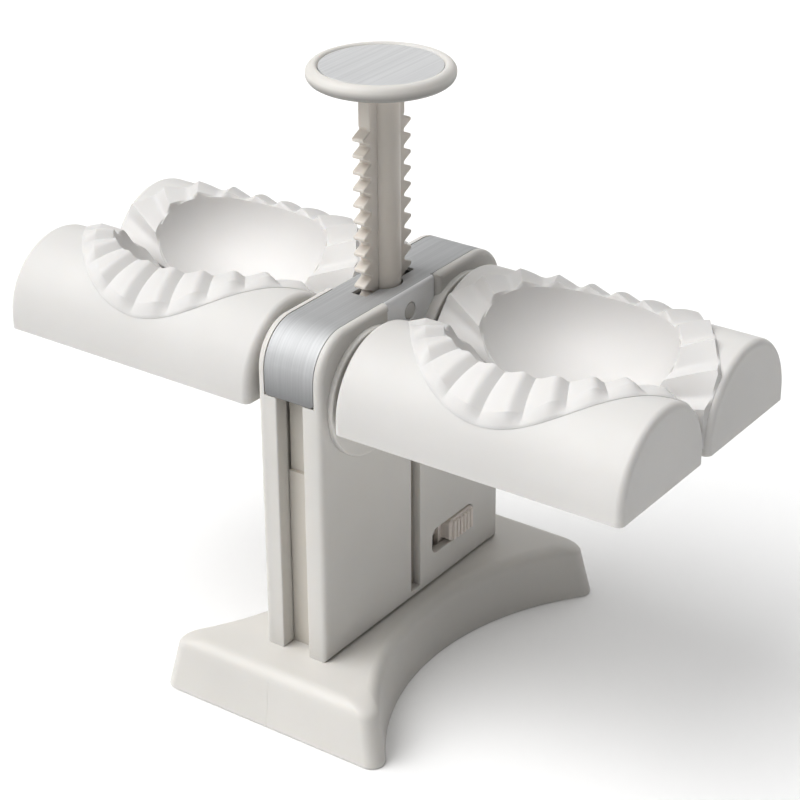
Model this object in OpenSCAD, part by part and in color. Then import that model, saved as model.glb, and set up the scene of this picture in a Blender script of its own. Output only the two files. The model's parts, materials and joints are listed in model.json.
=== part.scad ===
// Rolling dumpling press with two round moulds.
// Pushing the knob down drives a double rack, which turns two shafts in opposite directions.
// Each shaft carries two half-round wings, and the pleated moulds on them roll together.
// X runs along the wings, Y from front to back and Z up; the base stands on Z = 0.

/* [Base] */
// Length of the base from front to back
base_depth = 120; // [105:1:150]
// Width of the base across its front, before the corners are rounded
base_width = 88; // [80:1:100]
// Width of the base at its waist
base_waist = 38; // [34:1:50]
// Height of the base
base_height = 18; // [16:0.5:26]
// Radius of the upright corners
base_corner = 4; // [2:0.5:6]
// Radius of the top edge
base_edge = 4; // [2:0.5:5]
// How far the sides lean in from the floor to the top edge
base_flare = 1.5; // [0.5:0.5:3]
// Thickness of the base's side walls
base_wall = 2.5; // [2:0.25:3.5]
// Thickness of the base's top plate
base_top = 3; // [2.5:0.25:4]
// Thickness of the plate that closes the base from below
bottom_plate = 2; // [1.8:0.1:3]
// Radius of the four rubber pads
pad_radius = 5; // [3:0.5:6]
// Thickness of the rubber pads
pad_thickness = 1; // [0.6:0.1:1.4]

/* [Column] */
// Width of the column along the wings
column_width = 22.2; // [21:0.1:26]
// Depth of the column from front to back
column_depth = 90; // [86:0.5:100]
// Width of the open channels in the column's front and back
channel_width = 9; // [8:0.1:12]
// Wall left outside the gear chamber
shell_wall = 2.6; // [2:0.1:3]
// Radius of the column's upright edges
column_edge = 1.8; // [0.5:0.1:2.5]
// Height of the head's top, with its steel cover
head_height = 120; // [118:0.5:126]
// Radius of the head's front and back shoulders
head_round = 13; // [10:0.5:16]
// Distance from the head's top down to the shafts
shaft_drop = 22.2; // [21.5:0.1:23]
// Distance from the shafts down to the guide block
guide_drop = 22.8; // [19:0.1:28]
// Width of the upright slot in the column's sides
side_slot_width = 4.2; // [3:0.1:6]
// Distance from the guide block's top down to the side slots
side_slot_drop = 3; // [1:0.5:12]
// Distance from the base up to the side slots
side_slot_rise = 3; // [1:0.5:6]
// Radius of the round bearing bosses
boss_radius = 19; // [14:0.5:20]
// Thickness of the bearing bosses
boss_thickness = 1.7; // [1:0.1:2]
// Thickness of the walls that hide the pinions in the channels
gear_wall = 1; // [0.8:0.1:1.5]
// Step from the guide block's ends back to these walls
gear_wall_step = 1; // [0.5:0.1:1.2]

/* [Steel cover] */
// Width of the steel cover
cover_width = 16.9; // [16:0.1:19]
// Thickness of the steel sheet
cover_thickness = 1; // [0.6:0.1:1.2]
// Length of the cover's front and back skirts below its top
cover_drop = 20; // [16:0.5:24]
// Width of the two folded side flaps
flap_width = 24; // [16:0.5:30]
// Length of the side flaps below the top
flap_drop = 13; // [11:0.5:16]
// Radius of the snap bosses that hold the flaps
snap_radius = 2.4; // [1.2:0.1:2.6]

/* [Plunger] */
// Height of the whole press
total_height = 185; // [180:0.5:200]
// Radius of the round stem
stem_radius = 5.2; // [4.9:0.1:5.5]
// Thickness of the two toothed fins
fin_thickness = 4; // [3.5:0.1:5]
// Half width of the smooth fins below the knob
fin_neck = 8.4; // [8:0.1:9.5]
// Length of the smooth fins between the racks and the knob
neck_length = 11; // [8:0.5:14]
// Gap left under the plunger when it is pushed down
bottom_gap = 1.5; // [1:0.25:3]
// Radius of the knob
knob_radius = 20.9; // [18:0.1:24]
// Thickness of the knob
knob_thickness = 4.8; // [4.5:0.1:7]
// Radius of the knob's upper and lower edges
knob_edge = 2.3; // [1.5:0.1:2.4]
// Depth of the stem's seat in the knob
knob_seat = 0.8; // [0.5:0.1:1.2]
// Radius of the steel disc let into the knob
disc_radius = 17.4; // [12:0.1:18.2]
// Thickness of the steel disc
disc_thickness = 0.8; // [0.5:0.1:1.2]
// How far the steel disc lies below the knob's rim
disc_recess = 0.4; // [0.2:0.1:0.8]
// Radius of the spring's bore in the stem
spring_bore = 3.9; // [3.5:0.1:4.2]
// Depth of the spring's bore in the stem
bore_depth = 48; // [44:1:56]
// Gap left between the spring's post and the bore's end when the plunger is pushed down
post_gap = 3; // [2:0.5:5]
// Thickness of the spring's wire
spring_wire = 0.8; // [0.5:0.1:0.9]

/* [Gears] */
// Module of the racks and pinions
gear_module = 1.55; // [1.5:0.01:1.6]
// Teeth of each pinion
pinion_teeth = 17; // [16:1:18]
// Pressure angle of the teeth
pressure_angle = 25; // [22:0.5:26]
// Gap taken off each tooth at the pitch line
tooth_play = 0.16; // [0.12:0.01:0.3]
// Radius of the steel shafts
shaft_radius = 2.5; // [2.2:0.1:2.6]
// Depth of the flat along each shaft
shaft_flat = 0.5; // [0.3:0.1:0.8]
// Outer radius of the shaft bushes
bush_radius = 6.5; // [5:0.1:7.5]
// Radius of the pinion's hub
hub_radius = 6; // [5:0.1:6.5]

/* [Wings] */
// Length of each wing
wing_length = 91; // [90:0.5:100]
// Distance from the middle to each wing's inner end
wing_start = 15; // [14.5:0.1:17]
// Radius of the half-round wings
wing_radius = 21.7; // [21:0.1:22.5]
// Straight part of the wings below the shaft
wing_skirt = 3.5; // [3:0.1:3.9]
// Radius of the wings' end edges
wing_edge = 2; // [1:0.5:3]
// Wall of the wings
wing_wall = 2.5; // [2:0.1:3]
// Thickness of the plates that close the wings from below
wing_plate = 1.8; // [1.5:0.1:2.2]
// Length of the shaft's socket in each wing
socket_length = 11; // [8:0.5:12]

/* [Moulds] */
// Distance from the wing's inner end to the middle of its mould
mould_offset = 45; // [44.5:0.1:46.5]
// Half the width of a mould along the wing
mould_half = 43.7; // [40:0.1:44]
// Reach of a mould from the seam, measured along the wing's skin
mould_reach = 58; // [52:0.5:60]
// Reach at which the mould's sides start to draw in
mould_shoulder = 19; // [10:0.5:24]
// Half the length of the bowl along the wing
bowl_half = 33; // [28:0.5:34]
// Radius of the bowl across the wing
bowl_radius = 28.7; // [28.3:0.1:29]
// Height of the bowl's centre above the shafts
bowl_rise = 27.6; // [27.2:0.1:28]
// Squareness of the bowl's ends
bowl_power = 3; // [2.4:0.1:4]
// Pleats round each half of a mould
pleat_count = 14; // [10:1:16]
// Height of the pleats
pleat_height = 1.3; // [0.8:0.05:1.5]
// Steep share of each pleat
pleat_steep = 0.26; // [0.2:0.02:0.5]
// Thickness of the mould rim under the pleats
rim_thickness = 0.6; // [0.5:0.05:0.9]
// Gap between the two rims where they roll together
roll_gap = 0.3; // [0.25:0.05:0.5]

/* [Lock] */
// Height of the lock's slot
lock_height = 32.5; // [31:0.5:36]
// Length of the lock's slot
lock_slot_length = 21.5; // [21:0.5:23]
// Width of the lock's slot
lock_slot_width = 8; // [7:0.25:9]
// Radius of the slot's corners
lock_corner = 2.2; // [1:0.1:3.5]
// Distance from the middle to the slot's front end
lock_slot_start = 9; // [8.5:0.5:10]
// Travel of the lock
lock_travel = 7; // [6.5:0.25:7.5]
// How far the lock's button stands out of the column
lock_button = 1.5; // [1:0.1:2.5]
// Grip ribs on the button
lock_ribs = 5; // [3:1:6]

/* [Fasteners] */
// Radius of the screws
screw_radius = 1.25; // [1:0.05:1.5]
// Radius of the screws' heads
screw_head = 2.5; // [2:0.1:3]
// Thickness of the screws' heads
screw_head_depth = 1.4; // [1:0.1:1.6]
// Length of the base's screws
base_screw_length = 8; // [6:0.5:12]
// How far the column's screws go into the column
column_screw_grip = 10; // [8:0.5:14]
// Length of the screw in the knob
knob_screw_length = 12; // [10:0.5:16]
// Length of the screws in the wings' plates
plate_screw_length = 6; // [5:0.5:6.5]
// Radius of the plastic posts that the screws cut into
post_radius = 3; // [2.6:0.1:4]
// Distance from the base's ends to its screws
base_screw_inset = 8; // [7.5:0.5:10]
// Distance from the middle to the base's screws
base_screw_x = 12; // [10:0.5:13]
// Distance from the base's ends to the pads
pad_inset = 12; // [10:0.5:14]
// Distance from the middle to the pads
pad_x = 22; // [20.5:0.5:22.5]

/* [Fits] */
// Running gap of the shafts in their bushes
shaft_play = 0.05; // [0.03:0.01:0.08]
// Running gap of the stem in the guide block
stem_play = 0.08; // [0.05:0.01:0.1]
// Gap round moving pieces that don't bear on anything
open_play = 0.4; // [0.3:0.05:0.5]
// Gap between pieces that are fixed together
seat_play = 0.05; // [0.02:0.01:0.1]
// Gap round a sliding flat piece
slide_play = 0.2; // [0.1:0.05:0.3]

/* [Hidden] */
$fn = 64;

// Overlap that lets a cut pass cleanly through a face
cut = 0.5;
floor_thickness = 2;
shaft_height = head_height - shaft_drop;
guide_height = shaft_height - guide_drop;
side_slot_bottom = base_height + side_slot_rise;
side_slot_top = guide_height - side_slot_drop;
cover_skirt = head_height - cover_drop;
gear_wall_top = cover_skirt + 4;

// The two shafts stand apart by two wings, two rims, one pleat and the gap between them
shaft_y = wing_radius + rim_thickness + (pleat_height + roll_gap) / 2;
mould_x = wing_start + mould_offset;
wing_end = wing_start + wing_length;
wing_floor = shaft_height - wing_skirt;

// Pinion and rack
pitch_radius = gear_module * pinion_teeth / 2;
tooth_pitch = PI * gear_module;
pinion_tip = pitch_radius + 0.9 * gear_module;
pinion_root = pitch_radius - 1.2 * gear_module;
involute_base = pitch_radius * cos(pressure_angle);
rack_line = shaft_y - pitch_radius;
rack_tip = rack_line + 0.95 * gear_module;
rack_root = rack_line - 1.2 * gear_module;
// The plunger goes down until the wings have made half a turn
stroke = PI * pitch_radius;
rack_bottom = shaft_height - 3.5 * tooth_pitch;

// Gear chamber inside the column
half_width = column_width / 2;
half_depth = column_depth / 2;
half_channel = channel_width / 2;
chamber_x = half_width - shell_wall;
chamber_y = shaft_y + pinion_tip + open_play + gear_wall + gear_wall_step + seat_play;
chamber_top = shaft_height + pinion_tip + 2;
boss_face = half_width + boss_thickness;
cover_x = cover_width / 2;
flap_x = cover_x + cover_thickness;

// Plunger
knob_floor = total_height - knob_thickness;
disc_floor = total_height - disc_recess - disc_thickness;
rack_teeth = floor((knob_floor - neck_length - rack_bottom) / tooth_pitch);
rack_top = rack_bottom + rack_teeth * tooth_pitch;
slot_x = fin_thickness / 2 + open_play;
slot_y = rack_tip + open_play;
spring_floor = base_height + floor_thickness;
plunger_bottom = spring_floor + bottom_gap + stroke;
spring_top = plunger_bottom + bore_depth;
post_height = bottom_gap + bore_depth - post_gap;
catch_height = lock_height + stroke;
catch_start = stem_radius + 0.6;

// Lock
lock_end = lock_slot_start + lock_slot_length;
button_length = lock_slot_length - lock_travel - 2 * slide_play - 1;
button_back = lock_end - slide_play;
button_front = button_back - button_length;
tongue_half = 1.6;
tongue_front = catch_start + open_play + lock_travel;
tongue_thickness = 3.6;

// Fastener places
base_screw_y = base_depth / 2 - base_screw_inset;
pad_y = base_depth / 2 - pad_inset;
column_screw_x = (half_channel + half_width) / 2;
column_screw_y = (chamber_y + half_depth) / 2;

module along_x(from, to) {
    translate([from, 0, 0])
        rotate([90, 0, 90])
            linear_extrude(to - from)
                children();
}

module rod_x(from, to, radius) {
    translate([from, 0, 0])
        rotate([0, 90, 0])
            cylinder(h = to - from, r = radius);
}

// A box given by its low and high corners
module block(low, high) {
    translate(low)
        cube(high - low);
}

module both_sides() {
    children();
    mirror([1, 0, 0])
        children();
}

module both_ends() {
    children();
    mirror([0, 1, 0])
        children();
}

module four_times() {
    both_sides()
        both_ends()
            children();
}

// Base

waist_radius = (pow(base_depth / 2, 2) + pow((base_width - base_waist) / 2, 2)) / (base_width - base_waist);
waist_centre = base_waist / 2 + waist_radius;
waist_steps = 9;
corner_steps = 6;

// One quarter of the base's outline, from the waist to the middle of the front, moved in by an inset
function corner_y(inset) = base_depth / 2 - inset - base_corner;
function corner_reach(inset) = waist_radius + inset + base_corner;
function corner_x(inset) = waist_centre - sqrt(pow(corner_reach(inset), 2) - pow(corner_y(inset), 2));
function corner_lean(inset) = asin(corner_y(inset) / corner_reach(inset));
function waist_points(inset) = [
    for (i = [0 : waist_steps - 1])
        let (a = corner_lean(inset) * i / waist_steps)
            [waist_centre - (waist_radius + inset) * cos(a), (waist_radius + inset) * sin(a)]
];
function corner_points(inset) = [
    for (i = [0 : corner_steps])
        let (a = -corner_lean(inset) + (90 + corner_lean(inset)) * i / corner_steps)
            [corner_x(inset) + base_corner * cos(a), corner_y(inset) + base_corner * sin(a)]
];
function quarter(inset) = concat(waist_points(inset), corner_points(inset));
function reversed(list) = [for (i = [len(list) - 1 : -1 : 0]) list[i]];
function mirrored(list, sx, sy) = [for (p = list) [p.x * sx, p.y * sy]];
function inner_points(list) = [for (i = [1 : len(list) - 1]) list[i]];
function outline(inset) = concat(
    quarter(inset),
    reversed(mirrored(quarter(inset), -1, 1)),
    mirrored(inner_points(quarter(inset)), -1, -1),
    reversed(mirrored(inner_points(quarter(inset)), 1, -1))
);

// Rings of the outer skin: height and inset
edge_steps = 5;
base_rings = concat(
    [[0, 0], [base_height - base_edge, base_flare]],
    [
        for (i = [1 : edge_steps])
            let (a = 90 * i / edge_steps)
                [base_height - base_edge + base_edge * sin(a), base_flare + base_edge * (1 - cos(a))]
    ]
);

// Places of the outline's right and left sides in its list of points, both from back to front
quarter_count = waist_steps + corner_steps + 1;
outline_count = 4 * quarter_count - 2;
right_side = concat(
    [for (k = [quarter_count - 1 : -1 : 0]) k],
    [for (k = [1 : quarter_count - 1]) outline_count - k]
);
left_side = [for (k = [quarter_count : outline_count - quarter_count]) k];

module skin(rings) {
    count = outline_count;
    points = [for (r = rings) for (p = outline(r[1])) [p.x, p.y, r[0]]];
    last = (len(rings) - 1) * count;
    sides = [
        for (k = [0 : len(rings) - 2])
            for (i = [0 : count - 1])
                let (j = (i + 1) % count, low = k * count, high = (k + 1) * count)
                    for (t = [[low + i, high + i, high + j], [low + i, high + j, low + j]])
                        t
    ];
    top_face = [
        for (i = [0 : len(left_side) - 2])
            let (r = right_side[i], l = left_side[i], next_r = right_side[i + 1], next_l = left_side[i + 1])
                for (t = [[r, next_r, next_l], [r, next_l, l]])
                    [for (p = t) last + p]
    ];
    floor_face = [for (t = top_face) [t[0] - last, t[2] - last, t[1] - last]];
    polyhedron(points, concat(sides, floor_face, top_face), convexity = 6);
}

module base() {
    color("ivory")
        difference() {
            skin(base_rings);
            difference() {
                translate([0, 0, -cut])
                    linear_extrude(base_height - base_top + cut)
                        polygon(outline(base_wall + base_flare));
                four_times()
                    translate([base_screw_x, base_screw_y, bottom_plate])
                        cylinder(h = base_height, r = post_radius);
            }
            four_times() {
                translate([base_screw_x, base_screw_y, 0])
                    cylinder(h = base_height - base_top, r = screw_radius + seat_play);
                translate([column_screw_x, column_screw_y, 0])
                    cylinder(h = base_height + cut, r = screw_radius + seat_play);
            }
        }
}

module bottom_cover() {
    color("gainsboro")
        difference() {
            linear_extrude(bottom_plate)
                polygon(outline(base_wall + base_flare + seat_play));
            four_times() {
                translate([base_screw_x, base_screw_y, -cut])
                    cylinder(h = bottom_plate + 2 * cut, r = screw_radius + seat_play);
                translate([base_screw_x, base_screw_y, -cut])
                    cylinder(h = screw_head_depth + cut, r = screw_head + seat_play);
                translate([pad_x, pad_y, -cut])
                    cylinder(h = pad_thickness + cut, r = pad_radius + seat_play);
            }
        }
}

module foot_pads() {
    color("dimgray")
        four_times()
            translate([pad_x, pad_y, 0])
                cylinder(h = pad_thickness, r = pad_radius);
}

// A screw that points up, with the top of its head at height zero
module screw(length) {
    difference() {
        cylinder(h = screw_head_depth, r = screw_head);
        for (a = [0, 90])
            rotate(a)
                block([-1.6, -0.3, -cut], [1.6, 0.3, 0.7]);
    }
    translate([0, 0, screw_head_depth])
        cylinder(h = length, r = screw_radius);
}

module base_screws() {
    color("silver")
        four_times()
            translate([base_screw_x, base_screw_y, 0])
                screw(base_screw_length);
}

module column_screws() {
    color("silver")
        four_times()
            translate([column_screw_x, column_screw_y, base_height - base_top - screw_head_depth])
                screw(base_top + column_screw_grip);
}

// Column

// Side view of the column and its head, moved in by an inset above the given floor
module head_profile(floor_z, inset) {
    top = head_height - inset;
    edge = half_depth - inset;
    r = head_round - inset;
    translate([-edge, floor_z])
        square([2 * edge, top - r - floor_z]);
    translate([-edge + r, floor_z])
        square([2 * (edge - r), top - floor_z]);
    for (side = [-1, 1])
        translate([side * (edge - r), top - r])
            circle(r);
}

module column_plan() {
    translate([-half_width + column_edge, -half_depth])
        square([column_width - 2 * column_edge, column_depth]);
    translate([-half_width, -half_depth + column_edge])
        square([column_width, column_depth - 2 * column_edge]);
    for (x = [-1, 1])
        for (y = [-1, 1])
            translate([x * (half_width - column_edge), y * (half_depth - column_edge)])
                circle(column_edge);
}

// A rounded bar along X at the lock's height, between two places in Y
module lock_bar(from, to, front, back, half, radius) {
    block([from, front + radius, lock_height - half], [to, back - radius, lock_height + half]);
    block([from, front, lock_height - half + radius], [to, back, lock_height + half - radius]);
    for (y = [front + radius, back - radius])
        for (z = [lock_height - half + radius, lock_height + half - radius])
            translate([0, y, z])
                rod_x(from, to, radius);
}

// The right half of the column: an outer wall with solid front and back edges and a head
module shell() {
    difference() {
        union() {
            intersection() {
                along_x(half_channel, half_width)
                    head_profile(base_height, 0);
                linear_extrude(head_height)
                    column_plan();
            }
            both_ends()
                translate([0, shaft_y, shaft_height])
                    rod_x(half_width - 1, boss_face, boss_radius);
        }
        block([0, -chamber_y, base_height - cut], [chamber_x, chamber_y, chamber_top]);
        both_ends()
            translate([0, shaft_y, shaft_height])
                rod_x(0, boss_face + cut, bush_radius + seat_play);
        // Seat of the steel cover
        difference() {
            along_x(0, cover_x + slide_play)
                head_profile(cover_skirt - slide_play, -cut);
            along_x(-cut, cover_x + slide_play + cut)
                head_profile(base_height, cover_thickness);
        }
        block(
            [cover_x, -flap_width / 2 - slide_play, head_height - flap_drop - slide_play],
            [boss_face + cut, flap_width / 2 + slide_play, head_height + cut]
        );
        // Passage of the plunger
        translate([0, 0, chamber_top - cut])
            cylinder(h = head_height, r = stem_radius + open_play);
        block(
            [-half_width, -side_slot_width / 2, side_slot_bottom],
            [half_width + cut, side_slot_width / 2, side_slot_top]
        );
        translate([column_screw_x, column_screw_y, base_height - cut])
            cylinder(h = column_screw_grip + cut, r = screw_radius + seat_play);
        translate([column_screw_x, -column_screw_y, base_height - cut])
            cylinder(h = column_screw_grip + cut, r = screw_radius + seat_play);
    }
    translate([0, 0, head_height - flap_drop / 2 - cover_thickness / 2])
        rod_x(cover_x - 1, flap_x, snap_radius);
}

module column_left() {
    color("beige")
        mirror([1, 0, 0])
            shell();
}

module column_right() {
    color("beige")
        difference() {
            shell();
            lock_bar(0, half_width + cut, lock_slot_start, lock_end, lock_slot_width / 2, lock_corner);
        }
}

// The block between the column halves guides the stem and its fins and holds the lock
module guide_block() {
    block_x = chamber_x - seat_play;
    block_y = chamber_y - seat_play;
    wall_y = block_y - gear_wall_step - gear_wall;
    color("linen")
        difference() {
            union() {
                block([-block_x, -block_y, base_height], [block_x, block_y, guide_height]);
                // Walls that stand between the channels and the pinions
                both_ends()
                    block([-block_x, wall_y, base_height], [block_x, block_y, gear_wall_top]);
            }
            both_ends()
                block(
                    [-half_channel, block_y - gear_wall_step, guide_height],
                    [half_channel, block_y + cut, gear_wall_top + cut]
                );
            four_times()
                translate([column_screw_x, column_screw_y, base_height - cut])
                    cylinder(h = column_screw_grip + 2 * cut, r = screw_radius + slide_play);
            translate([0, 0, spring_floor])
                cylinder(h = guide_height, r = stem_radius + stem_play);
            block([-slot_x, -slot_y, spring_floor], [slot_x, slot_y, guide_height + cut]);
            both_sides()
                block(
                    [stem_radius + stem_play + 1.2, -side_slot_width / 2, side_slot_bottom],
                    [block_x + cut, side_slot_width / 2, side_slot_top]
                );
            // Room for the lock's plate and tongue
            block(
                [plate_inner_x - slide_play, plate_front - lock_travel - lock_room, lock_height - plate_room],
                [block_x + cut, plate_back + lock_room, lock_height + plate_room]
            );
            block(
                [-slot_x, stem_radius, lock_height - tongue_half - slide_play],
                [block_x, tongue_front + tongue_thickness + lock_room, lock_height + tongue_half + slide_play]
            );
        }
}

module steel_cover() {
    color("lightsteelblue")
        difference() {
            union() {
                difference() {
                    along_x(-cover_x, cover_x)
                        head_profile(cover_skirt, 0);
                    along_x(-cover_x - cut, cover_x + cut)
                        head_profile(base_height, cover_thickness);
                }
                both_sides()
                    block(
                        [cover_x, -flap_width / 2, head_height - flap_drop],
                        [flap_x, flap_width / 2, head_height]
                    );
            }
            block(
                [-slot_x, -slot_y, head_height - 2 * cover_thickness],
                [slot_x, slot_y, head_height + cut]
            );
            translate([0, 0, head_height - 2 * cover_thickness])
                cylinder(h = 3 * cover_thickness, r = stem_radius + open_play);
            translate([0, 0, head_height - flap_drop / 2 - cover_thickness / 2])
                rod_x(-half_width, half_width, snap_radius + slide_play);
        }
}

module shaft_bushes() {
    color("whitesmoke")
        four_times()
            translate([0, shaft_y, shaft_height])
                difference() {
                    rod_x(chamber_x, boss_face, bush_radius);
                    rod_x(chamber_x - cut, boss_face + cut, shaft_radius + shaft_play);
                }
}

module spring_post() {
    color("silver")
        translate([0, 0, spring_floor])
            cylinder(h = post_height, r = spring_bore - spring_wire - 2 * open_play);
}

// Plunger

// Side view of one toothed fin, from the lower guide to the smooth neck
function tooth_centre(i) = rack_bottom + (i + 0.5) * tooth_pitch;
function tooth_half(y) = tooth_pitch / 4 - tooth_play / 2 - (y - rack_line) * tan(pressure_angle);
fin_points = concat(
    [[0, plunger_bottom], [rack_tip, plunger_bottom], [rack_tip, rack_bottom - tooth_pitch / 2]],
    [
        for (i = [0 : rack_teeth - 1])
            for (p = [[rack_root, -1], [rack_tip, -1], [rack_tip, 1], [rack_root, 1]])
                [p[0], tooth_centre(i) + p[1] * tooth_half(p[0])]
    ],
    [
        [rack_root, rack_top],
        [fin_neck, rack_top + fin_neck - rack_root],
        [fin_neck, knob_floor],
        [0, knob_floor]
    ]
);

module plunger_rod() {
    color("antiquewhite")
        difference() {
            union() {
                translate([0, 0, plunger_bottom])
                    cylinder(h = knob_floor + knob_seat - plunger_bottom, r = stem_radius);
                both_ends()
                    along_x(-fin_thickness / 2, fin_thickness / 2)
                        polygon(fin_points);
            }
            translate([0, 0, plunger_bottom - cut])
                cylinder(h = spring_top - plunger_bottom + cut, r = spring_bore);
            translate([0, 0, knob_floor - knob_screw_length])
                cylinder(h = knob_screw_length + knob_seat + cut, r = screw_radius + seat_play);
            // Notch that the lock's tongue enters
            block(
                [-fin_thickness, catch_start, catch_height - tongue_half - 2 * slide_play],
                [fin_thickness, rack_tip + cut, catch_height + tongue_half + 2 * slide_play]
            );
        }
}

// The knob's half section, with fully rounded edges
module knob_section() {
    translate([0, knob_floor])
        square([knob_radius - knob_edge, knob_thickness]);
    translate([0, knob_floor + knob_edge])
        square([knob_radius, knob_thickness - 2 * knob_edge]);
    for (z = [knob_floor + knob_edge, total_height - knob_edge])
        translate([knob_radius - knob_edge, z])
            circle(knob_edge);
}

module knob() {
    color("ivory")
        difference() {
            rotate_extrude($fn = 96)
                knob_section();
            translate([0, 0, disc_floor])
                cylinder(h = 2 * disc_thickness + 1, r = disc_radius + seat_play, $fn = 96);
            translate([0, 0, knob_floor - cut])
                cylinder(h = knob_seat + cut, r = stem_radius + seat_play);
            translate([0, 0, knob_floor])
                cylinder(h = knob_thickness, r = screw_radius + seat_play);
            translate([0, 0, disc_floor - screw_head_depth])
                cylinder(h = knob_thickness, r = screw_head + seat_play);
        }
}

module knob_disc() {
    color("lightsteelblue")
        translate([0, 0, disc_floor])
            cylinder(h = disc_thickness, r = disc_radius, $fn = 96);
}

module knob_screw() {
    color("silver")
        translate([0, 0, disc_floor])
            mirror([0, 0, 1])
                screw(knob_screw_length);
}

// The coil is hidden in the stem and kept as a plain sleeve of the coil's size
module return_spring() {
    outer = spring_bore - open_play;
    color("silver")
        translate([0, 0, spring_floor])
            difference() {
                cylinder(h = spring_top - spring_floor, r = outer);
                translate([0, 0, -cut])
                    cylinder(h = spring_top, r = outer - spring_wire);
            }
}

// Lock

plate_half = lock_slot_width / 2 + 1.5;
plate_room = plate_half + slide_play;
lock_room = 0.6;
plate_front = min(button_front - 2, tongue_front);
plate_back = button_back;
plate_inner_x = chamber_x - 2;

module lock_slider() {
    rib_pitch = (button_length - 4) / (lock_ribs - 1);
    half = lock_slot_width / 2 - slide_play;
    color("ivory") {
        difference() {
            union() {
                lock_bar(
                    chamber_x - slide_play - 0.2, half_width + lock_button - 0.6,
                    button_front, button_back, half, lock_corner - slide_play
                );
                for (i = [0 : lock_ribs - 1])
                    translate([0, button_front + 2 + i * rib_pitch, 0])
                        block(
                            [half_width, -0.55, lock_height - half + 0.5],
                            [half_width + lock_button, 0.55, lock_height + half - 0.5]
                        );
                block(
                    [plate_inner_x, plate_front, lock_height - plate_half],
                    [chamber_x - slide_play, plate_back, lock_height + plate_half]
                );
                block(
                    [-fin_thickness / 2, tongue_front, lock_height - tongue_half],
                    [plate_inner_x + cut, tongue_front + tongue_thickness, lock_height + tongue_half]
                );
            }
        }
    }
}

// Pinions and shafts

function involute(r) = let (a = acos(min(1, involute_base / r))) tan(a) * 180 / PI - a;
half_tooth = (tooth_pitch / 2 - tooth_play) / (2 * pitch_radius) * 180 / PI;
function flank_angle(r) = half_tooth + involute(pitch_radius) - involute(max(r, involute_base));
flank_steps = 5;
flank = concat(
    [pinion_root],
    [for (i = [0 : flank_steps]) involute_base + (pinion_tip - involute_base) * i / flank_steps]
);
function on_circle(r, a) = [r * cos(a), r * sin(a)];

module pinion_outline() {
    polygon([
        for (t = [0 : pinion_teeth - 1])
            for (p = concat(
                [for (r = flank) on_circle(r, 360 * t / pinion_teeth - flank_angle(r))],
                [for (r = reversed(flank)) on_circle(r, 360 * t / pinion_teeth + flank_angle(r))]
            ))
                p
    ]);
}

module d_section(play) {
    difference() {
        circle(shaft_radius + play);
        translate([-shaft_radius, shaft_radius - shaft_flat + play])
            square([2 * shaft_radius, 2]);
    }
}

// The rear shaft's parts, built at their place; the front ones are their mirror image
module shaft() {
    color("silver")
        translate([0, shaft_y, shaft_height])
            intersection() {
                rod_x(-wing_start - socket_length, wing_start + socket_length, shaft_radius);
                union() {
                    block([-boss_face, -5, -5], [-chamber_x, 5, 5]);
                    block([chamber_x, -5, -5], [boss_face, 5, 5]);
                    block([-wing_end, -5, -5], [wing_end, 5, shaft_radius - shaft_flat]);
                }
            }
}

module pinion() {
    color("whitesmoke")
        translate([0, shaft_y, shaft_height])
            difference() {
                union() {
                    along_x(-fin_thickness / 2 - 0.3, fin_thickness / 2 + 0.3)
                        rotate(180 + 180 / pinion_teeth)
                            pinion_outline();
                    rod_x(-chamber_x + slide_play, chamber_x - slide_play, hub_radius);
                }
                along_x(-half_width, half_width)
                    d_section(seat_play / 2);
            }
}

module washers() {
    color("whitesmoke")
        both_sides()
            translate([0, shaft_y, shaft_height])
                difference() {
                    rod_x(boss_face + seat_play, wing_start, hub_radius);
                    along_x(boss_face, wing_start + cut)
                        d_section(seat_play / 2);
                }
}

// Wings

// A half-round bar with straight sides below the shaft
module wing_section(inset) {
    intersection() {
        circle(wing_radius - inset, $fn = 128);
        translate([-wing_radius, 0])
            square([2 * wing_radius, wing_radius]);
    }
    translate([-wing_radius + inset, -wing_skirt])
        square([2 * (wing_radius - inset), wing_skirt + 0.01]);
}

bowl_steps = 12;
function bowl_width(x) = bowl_radius * pow(1 - pow(min(1, abs(x) / bowl_half), bowl_power), 1 / bowl_power);
bowl_profile = concat(
    [[0, -bowl_half]],
    [
        for (i = [-bowl_steps + 1 : bowl_steps - 1])
            let (x = bowl_half * sin(90 * i / bowl_steps))
                [bowl_width(x), x]
    ],
    [[0, bowl_half]]
);

// The bowl is round about an axis above the seam, grown by a wall
module bowl(wall) {
    translate([mould_x, 0, shaft_height + bowl_rise])
        rotate([0, 90, 0])
            rotate_extrude($fn = 96)
                polygon([
                    for (p = bowl_profile)
                        [p.x == 0 ? 0 : p.x + wall, p.y * (1 + wall / bowl_half)]
                ]);
}

plate_inner_y = shaft_y - wing_radius + 11;
plate_outer_y = shaft_y + wing_radius - wing_wall;
plate_start = wing_start + socket_length + 3;
plate_end = wing_end - wing_wall;
plate_screw_x = [plate_start + 4, plate_end - 4];
plate_screw_y = plate_outer_y - 4;

// The wing's outline from the shaft outwards, with rounded ends
module wing_profile() {
    translate([0, wing_start])
        square([wing_radius - wing_edge, wing_length]);
    translate([0, wing_start + wing_edge])
        square([wing_radius, wing_length - 2 * wing_edge]);
    for (x = [wing_start + wing_edge, wing_end - wing_edge])
        translate([wing_radius - wing_edge, x])
            circle(wing_edge);
}

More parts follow.
